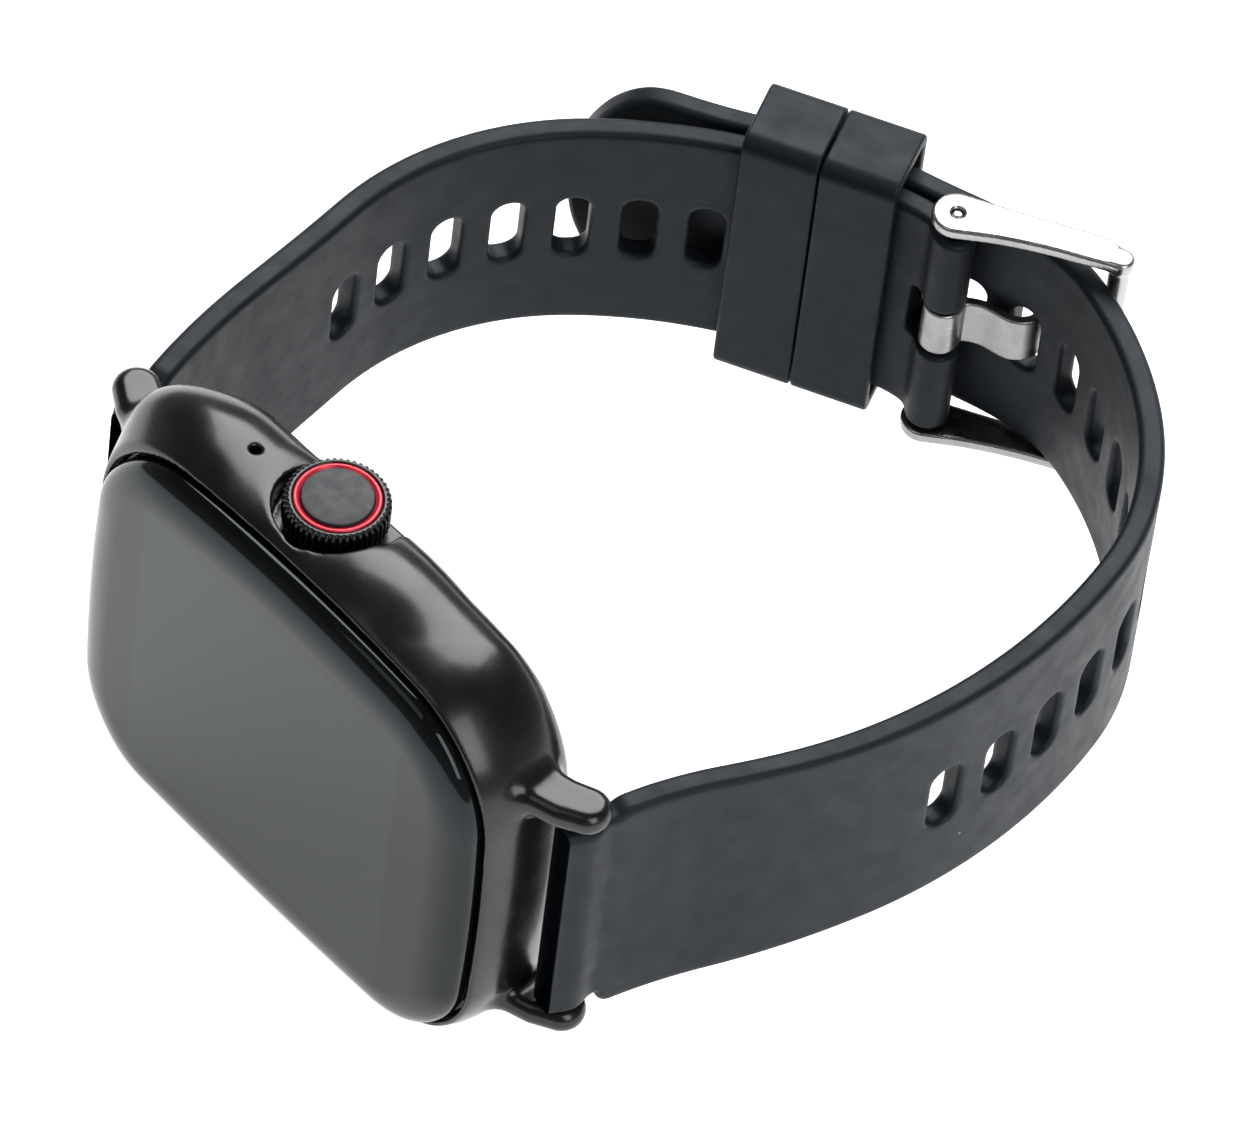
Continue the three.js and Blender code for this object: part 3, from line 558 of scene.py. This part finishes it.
def back_cover_field(x, y, z):
    plate = slab(rim(x, z) + 4.1, between(y, 6.95, 9), 0.6)
    plate = smooth_max(plate, y - 8.05, 0.25)
    plate = cut_away(plate, norm(x, z) - 6, 0.12)
    for side in (-1.4, 1.4):
        plate = cut_away(plate, norm(x - 9.2, z - side) - 0.95, 0.1)
    head = norm(np.abs(x) - 13.2, np.abs(z) - 10) - 0.98
    plate = cut_away(plate, np.maximum(head, 7.5 - y), 0.1)
    return cut_away(plate, norm(np.abs(x) - 13.2, np.abs(z) - 10) - 0.56)


cover = solid("back_plate", back_cover_field, (-17, 6.6, -14.5), (17, 8.4, 15), (0.22, 0.15, 0.22), in_head)
adopt(cover, look_of("dark_plastic"), "watch", "dark_plastic", "back_cover")

window = turned("sensor_dome", [(0, 7.1), (5.7, 7.1), (5.92, 7.15), (5.92, 8.05), (5.8, 8.2), (5.3, 8.38),
                                (4.4, 8.58), (3, 8.78), (1.5, 8.87), (0, 8.9)], (0, 0, 0), 96)
for v in window.data.vertices:
    a, b, c = v.co
    v.co = (a + HEAD[0] * MM, c + HEAD[1] * MM, -b + HEAD[2] * MM)
adopt(window, look_of("glass"), "watch", "glass", "sensor_window")


# ---------------------------------------------------------------- crown

crown_at = (*(CROWN + HEAD[:2]), HEAD[2])
knob = turned("crown_wheel", [
    (0, 18.4), (0.61, 18.4), (0.61, 17.1), (3.3, 17.1), (3.55, 17.14, 0.06), (3.74, 17.3, 0.2),
    (3.8, 17.5, 0.26), (3.8, 19.05, 0.26), (3.76, 19.24, 0.24), (3.62, 19.4, 0.16), (3.45, 19.49, 0.04),
    (3.3, 19.5), (3.18, 19.48), (3.14, 19.42), (3.14, 19.0), (0, 19.0),
], crown_at, 480, 48)
adopt(knob, look_of("case_plastic"), "crown", "case_plastic", "crown_knob")

ring = turned("crown_band", [
    (2.62, 19.08), (3.08, 19.08), (3.09, 19.46), (3.05, 19.51), (2.9, 19.52), (2.82, 19.49), (2.78, 19.42),
    (2.64, 19.4), (2.62, 19.36),
], crown_at, 128)
adopt(ring, look_of("red_paint"), "crown", "red_paint", "crown_ring")

cap = turned("crown_disc", [
    (0, 19.06), (2.5, 19.06), (2.56, 19.1), (2.56, 19.55),
    (2.53, 19.6), (2.46, 19.62), (1.2, 19.62), (0, 19.62),
], crown_at, 128)
adopt(cap, look_of("cap_paint"), "crown", "cap_paint", "crown_cap")


# ---------------------------------------------------------------- strap centrelines

class Path:
    """A plan line with a point and a heading at any distance along it."""

    def __init__(self, points):
        step = np.linalg.norm(np.diff(points, axis=0), axis=1)
        keep = np.concatenate([[True], step > 1e-6])
        self.points = points[keep]
        step = np.linalg.norm(np.diff(self.points, axis=0), axis=1)
        self.s = np.concatenate([[0], np.cumsum(step)])
        self.total = self.s[-1]
        slope = np.gradient(self.points, self.s, axis=0)
        self.heading = np.unwrap(np.arctan2(slope[:, 1], slope[:, 0]))

    def at(self, s):
        """Point, along and left-hand unit vectors; straight on beyond either end."""
        angle = np.interp(s, self.s, self.heading)
        along = np.stack([np.cos(angle), np.sin(angle)], -1)
        point = np.stack([np.interp(s, self.s, self.points[:, i]) for i in (0, 1)], -1)
        extra = np.minimum(s, 0) + np.maximum(s - self.total, 0)
        left = np.stack([-along[..., 1], along[..., 0]], -1)
        return point + along * np.asarray(extra)[..., None], along, left

    def nearest(self, x, y):
        return self.s[np.argmin(np.hypot(self.points[:, 0] - x, self.points[:, 1] - y))]


def arcs(start, heading, steps):
    """Points along arcs that follow on smoothly, the last heading, and each arc's own numbers.

    Those are its centre, radius, starting heading and sweep.
    """
    point, angle, out, facts = np.array(start, float), np.radians(heading), [], []
    for length, turn in steps:
        sweep = np.radians(turn)
        radius = length / sweep
        centre = point + radius * np.array([-np.sin(angle), np.cos(angle)])
        a = angle + sweep * np.linspace(0, 1, max(8, int(length * 8)))
        out.append(centre + radius * np.stack([np.sin(a), -np.cos(a)], 1))
        facts.append((centre, abs(radius), angle, sweep))
        point, angle = out[-1][-1], angle + sweep
    return np.concatenate(out), np.degrees(angle), facts


OVERLAP = 2.2
COVERED_SHARE = 0.51
BUCKLE_SIDE_ARCS = [[14.8, -8.8], [10.3, -1.3], [19.9, -47.1], [24.1, -33.7], [3.9, -26.9]]
HOLE_SIDE_ARCS = [[11, -12.6], [12.4, 9.6], [23.1, 28.6], [5.6, 16.4], [9.2, 21.2], [12, 22.4]]
a_points, _, a_facts = arcs(LUG_12, 109, BUCKLE_SIDE_ARCS)
buckle_path = Path(a_points)


def hole_side_line():
    chain, heading, _ = arcs(LUG_6, 82, HOLE_SIDE_ARCS)
    centre, radius, angle, sweep = a_facts[3]
    a = angle + sweep - sweep * COVERED_SHARE * np.linspace(0, 1, 120)
    covered = centre + (radius + OVERLAP) * np.stack([-np.sin(a), np.cos(a)], 1)
    back = np.degrees(a[-1]) + 180
    free, _, _ = arcs(covered[-1], back, [[6, -7], [7.6, 16]])
    start, end = chain[-1], covered[0]
    reach = np.linalg.norm(end - start) * 0.36
    h0, h1 = np.radians(heading), a[0] + np.pi
    b = start + reach * np.array([np.cos(h0), np.sin(h0)])
    c = end - reach * np.array([np.cos(h1), np.sin(h1)])
    t = np.linspace(0, 1, 90)[:, None]
    bridge = (1 - t) ** 3 * start + 3 * (1 - t) ** 2 * t * b + 3 * (1 - t) * t ** 2 * c + t ** 3 * end
    return Path(np.concatenate([chain, bridge, covered, free]))


hole_path = hole_side_line()
BUCKLED_AT = hole_path.nearest(4.2, 66)
HOLE_PITCH = 4.95


def along_path(path):
    """Places (distance, left, height) points on a path. Near the head the upper edge rises to the lugs."""
    def place(points):
        s, n, z = points.T
        point, _, left = path.at(s)
        plan = point + left * n[:, None]
        t = np.clip((plan[:, 1] - 8) / 18, 0, 1)
        near = 1 - t * t * (3 - 2 * t)
        up = z + near * 1.2 * (1 + z / 10) / 2
        return np.stack([plan[:, 0], plan[:, 1], up], 1) + ORIGIN
    return place


# ---------------------------------------------------------------- straps

def strap_holes(s, n, z, first, count):
    """Distance from the nearest of a row of rounded slots, a little wider at each face."""
    index = np.clip(np.round((s - first) / HOLE_PITCH), 0, count - 1)
    flare = 0.16 * np.maximum(np.abs(n) - 0.62, 0) / 0.33
    return rectangle(s - first - index * HOLE_PITCH, z, 1.28, 2.98, 1.15) - flare


def strap_field(plan, s, n, z, first, count):
    band = slab(plan, np.abs(n) - 0.95, 0.5)
    eye = slab(norm(s, n) - 1.4, np.abs(z - 0.55) - 9.1, 0.35)
    band = smooth_min(band, eye, 0.9)
    band = cut_away(band, strap_holes(s, n, z, first, count), 0.22)
    return cut_away(band, norm(s, n) - 0.86)


def root_plan(s, z):
    """The strap's outline seen flat: a neck between the lugs, then the full width."""
    neck = np.maximum(np.abs(z - 0.55) - 9.15, s - 6)
    wide = slab(2.4 - s, np.abs(z) - 10, 1.1)
    return smooth_min(neck, wide, 0.5)


A_FIRST = buckle_path.nearest(-28.2, 27.3)
A_END = buckle_path.total


def buckle_side_field(s, n, z):
    body = strap_field(np.maximum(root_plan(s, z), s - A_END), s, n, z, A_FIRST, 8)
    roll = slab(norm(s - A_END, n) - 1.6, np.abs(z) - 10, 0.3)
    body = smooth_min(body, roll, 0.8)
    notch = slab(np.abs(z - 0.25) - 2.45, A_END - 2.7 - s, 0.5)
    body = cut_away(body, notch, 0.2)
    return cut_away(body, norm(s - A_END, n) - 0.86)


def hole_side_field(s, n, z):
    end = hole_path.total
    t = np.maximum(s - (end - 6.5), 0) / 6.5
    tip = 8 * (norm(t, z / 10) - 1)
    plan = np.maximum(root_plan(s, z), np.where(s > end - 6.5, tip, -10))
    return strap_field(plan, s, n, z, BUCKLED_AT - 10 * HOLE_PITCH, 13)


strap_a = solid("strap_with_buckle", buckle_side_field, (-1.9, -2.1, -10.5), (A_END + 2.1, 2.1, 10.5),
                (0.26, 0.2, 0.26), along_path(buckle_path))
adopt(strap_a, look_of("silicone"), "watch", "silicone", "buckle_side_strap")

strap_b = solid("strap_with_holes", hole_side_field, (-1.9, -1.7, -10.5), (hole_path.total + 0.6, 1.7, 10.5),
                (0.26, 0.2, 0.26), along_path(hole_path))
adopt(strap_b, look_of("silicone"), "watch", "silicone", "hole_side_strap")


# ---------------------------------------------------------------- keepers

def keeper_field(a, n, z):
    section = cut_away(rectangle(n, z, 3.45, 12.3, 1.3), rectangle(n, z, 2.5, 11.35, 0.55))
    return slab(section, np.abs(a) - 2.92, 0.2)


def keeper_place(station, lean):
    point, along, left = buckle_path.at(np.array(station))
    centre = point + left * OVERLAP / 2
    turn = np.radians(lean)
    ahead = along * np.cos(turn) + left * np.sin(turn)
    side = left * np.cos(turn) - along * np.sin(turn)

    def place(points):
        a, n, z = points.T
        plan = centre + a[:, None] * ahead + n[:, None] * side
        return np.stack([plan[:, 0], plan[:, 1], z], 1) + ORIGIN
    return place


for name, station, lean in (("keeper_near", 65.1, 4), ("keeper_far", 59.27, -4)):
    loop = solid(name.replace("keeper", "loop"), keeper_field, (-3.2, -3.8, -12.7), (3.2, 3.8, 12.7),
                 (0.17, 0.17, 0.17), keeper_place(station, lean))
    adopt(loop, look_of("silicone"), name, "silicone", name)


# ---------------------------------------------------------------- buckle

OUTER_BAR = np.array([10.1, 66.98])
arm_line = flowing([(*PIN, 1.85), (PIN[0] + 2.6, PIN[1] + 1.9, 1.5), (PIN[0] + 5.6, PIN[1] + 3.9, 1.3),
                    (PIN[0] + 8.4, PIN[1] + 5.6, 1.25), (*OUTER_BAR, 0.9)])


def buckle_field(x, y, z):
    plan = stroke(x, y, arm_line[:, :2], arm_line[:, 2])
    across = np.abs(z - BUCKLE_Z)
    arms = slab(plan, np.abs(across - 11.2) - 0.45, 0.2)
    bar = slab(norm(x - OUTER_BAR[0], y - OUTER_BAR[1]) - 0.8, across - 11.65, 0.3)
    return cut_away(smooth_min(arms, bar, 0.5), norm(x - PIN[0], y - PIN[1]) - 0.5, 0.1)


def in_model(points):
    return points + ORIGIN


buckle = solid("buckle_loop", buckle_field, (PIN[0] - 2.4, PIN[1] - 2.4, -11.7), (12.2, 68.4, 12.6),
               (0.16, 0.16, 0.16), in_model)
adopt(buckle, look_of("steel"), "buckle", "steel", "buckle_frame")

through, hole_along, hole_left = hole_path.at(np.array(BUCKLED_AT))


def near_hole(back, out):
    return tuple(through - back * hole_along - out * hole_left)


tongue_line = flowing([
    (PIN[0] + 0.3, PIN[1] + 1), (PIN[0] + 1.9, PIN[1] + 2.25),
    near_hole(-0.75, -1.65), near_hole(0.3, -0.7), near_hole(0.5, 0.6),
    near_hole(1.5, 1.85), near_hole(3.5, 2.4),
    (OUTER_BAR[0] + 0.8, OUTER_BAR[1] + 0.8 + 0.4 + 0.12),
])


def tongue_field(x, y, z):
    blade = stroke(x, y, tongue_line, np.full(len(tongue_line), 0.38))
    plan = smooth_min(blade, norm(x - PIN[0], y - PIN[1]) - 1.45, 0.5)
    taper = 2.05 - 0.35 * np.clip((x - 7.5) / 4, 0, 1)
    body = slab(plan, np.abs(z - 0.25) - taper, 0.14)
    return cut_away(body, norm(x - PIN[0], y - PIN[1]) - 0.86)


tongue = solid("buckle_prong", tongue_field, (PIN[0] - 1.9, PIN[1] - 1.9, -2.2), (12.4, 69.2, 2.7),
               (0.14, 0.14, 0.14), in_model)
adopt(tongue, look_of("brushed_steel"), "tongue", "brushed_steel", "buckle_tongue")

for bar in ("lug_bar_12", "lug_bar_6", "buckle_bar"):
    for end in ("upper", "lower"):
        node = f"{bar}_tip_{end}"
        low, high = (np.array(c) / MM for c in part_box(node))
        inner, outer = (low[2], high[2]) if end == "upper" else (high[2], low[2])
        back = 0.15 if end == "upper" else -0.15
        profile = [(0, inner), (0.4, inner), (0.45, inner + back), (0.45, outer - 1.5 * back),
                   (0.4, outer - 0.5 * back), (0.25, outer), (0, outer)]
        pin_end = turned(node.replace("tip", "pin_end"), profile, (*middle(node)[:2], 0), 32)
        if end == "lower":
            pin_end.data.flip_normals()
        adopt(pin_end, look_of("steel"), f"{bar}_{end}", "steel", node)


# ---------------------------------------------------------------- floor, light and camera

FLOOR_HALF = 3.0


def studio():
    mesh = bpy.data.meshes.new("floor")
    half = FLOOR_HALF
    corners = [(-half, -half, 0), (half, -half, 0), (half, half, 0), (-half, half, 0)]
    mesh.from_pydata(corners, [], [(0, 1, 2, 3)])
    floor = bpy.data.objects.new("floor", mesh)
    bpy.context.scene.collection.objects.link(floor)
    paper = Look("floor_paper", (0.86, 0.86, 0.865), 0.8).mottle(8, 0.006).uneven(60, 0.05)
    paper.set(Emission_Color=(1, 1, 1, 1), Emission_Strength=0.9)
    floor.data.materials.append(paper.mat)
    floor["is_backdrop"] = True

    world = bpy.data.worlds.new("studio")
    bpy.context.scene.world = world
    world.use_nodes = True
    tree = world.node_tree
    where = tree.nodes.new("ShaderNodeTexCoord").outputs["Generated"]
    split = tree.nodes.new("ShaderNodeSeparateXYZ")
    tree.links.new(where, split.inputs["Vector"])
    fade = tree.nodes.new("ShaderNodeMapRange")
    for key, value in (("From Min", 0.05), ("From Max", 0.6), ("To Min", 0.3), ("To Max", 0.1)):
        fade.inputs[key].default_value = value
    tree.links.new(split.outputs["Z"], fade.inputs["Value"])
    tree.links.new(fade.outputs["Result"], tree.nodes["Background"].inputs["Strength"])
    tree.nodes["Background"].inputs["Color"].default_value = (1, 1, 1, 1)


def softbox(name, place, size, power):
    """A rectangular light that faces the middle of the watch."""
    data = bpy.data.lights.new(name, "AREA")
    data.shape = "RECTANGLE"
    data.size, data.size_y = size
    data.energy = power
    light = bpy.data.objects.new(name, data)
    bpy.context.scene.collection.objects.link(light)
    light.location = place
    aim = -light.location.copy()
    aim.z += 0.02
    light.rotation_euler = aim.to_track_quat("-Z", "Y").to_euler()


def camera():
    """A long lens at the photograph's angle, as its turn, tilt and roll about the object."""
    azimuth, elevation, roll = np.radians([42.6815, 49.9279, 7.4937])
    level = np.cos(elevation)
    back = np.array([np.sin(azimuth) * level, -np.cos(azimuth) * level, np.sin(elevation)])
    right = np.array([np.cos(azimuth), np.sin(azimuth), 0])
    up = np.cross(back, right)
    across = right * np.cos(roll) + up * np.sin(roll)
    upright = up * np.cos(roll) - right * np.sin(roll)
    place = (22.398 * across + 11.389 * upright + 900.004 * back + ORIGIN) * MM
    data = bpy.data.cameras.new("camera")
    data.sensor_fit = "HORIZONTAL"
    data.sensor_width = 36
    data.lens = 12948.07 / 1250 * 36
    data.clip_start, data.clip_end = 0.05, 20
    eye = bpy.data.objects.new("camera", data)
    bpy.context.scene.collection.objects.link(eye)
    pose = Matrix.Identity(4)
    for column, axis in enumerate((across, upright, back, place)):
        for row in range(3):
            pose[row][column] = axis[row]
    eye.matrix_world = pose
    bpy.context.scene.camera = eye


studio()
softbox("back_light", (-0.35, 0.55, 0.75), (0.8, 0.7), 13)
softbox("side_light", (0.75, -0.1, 0.6), (0.4, 0.7), 4)
softbox("front_fill", (-0.1, -0.6, 1.0), (0.6, 0.5), 0.9)
camera()
bpy.context.scene.view_settings.view_transform = "Standard"

low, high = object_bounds()
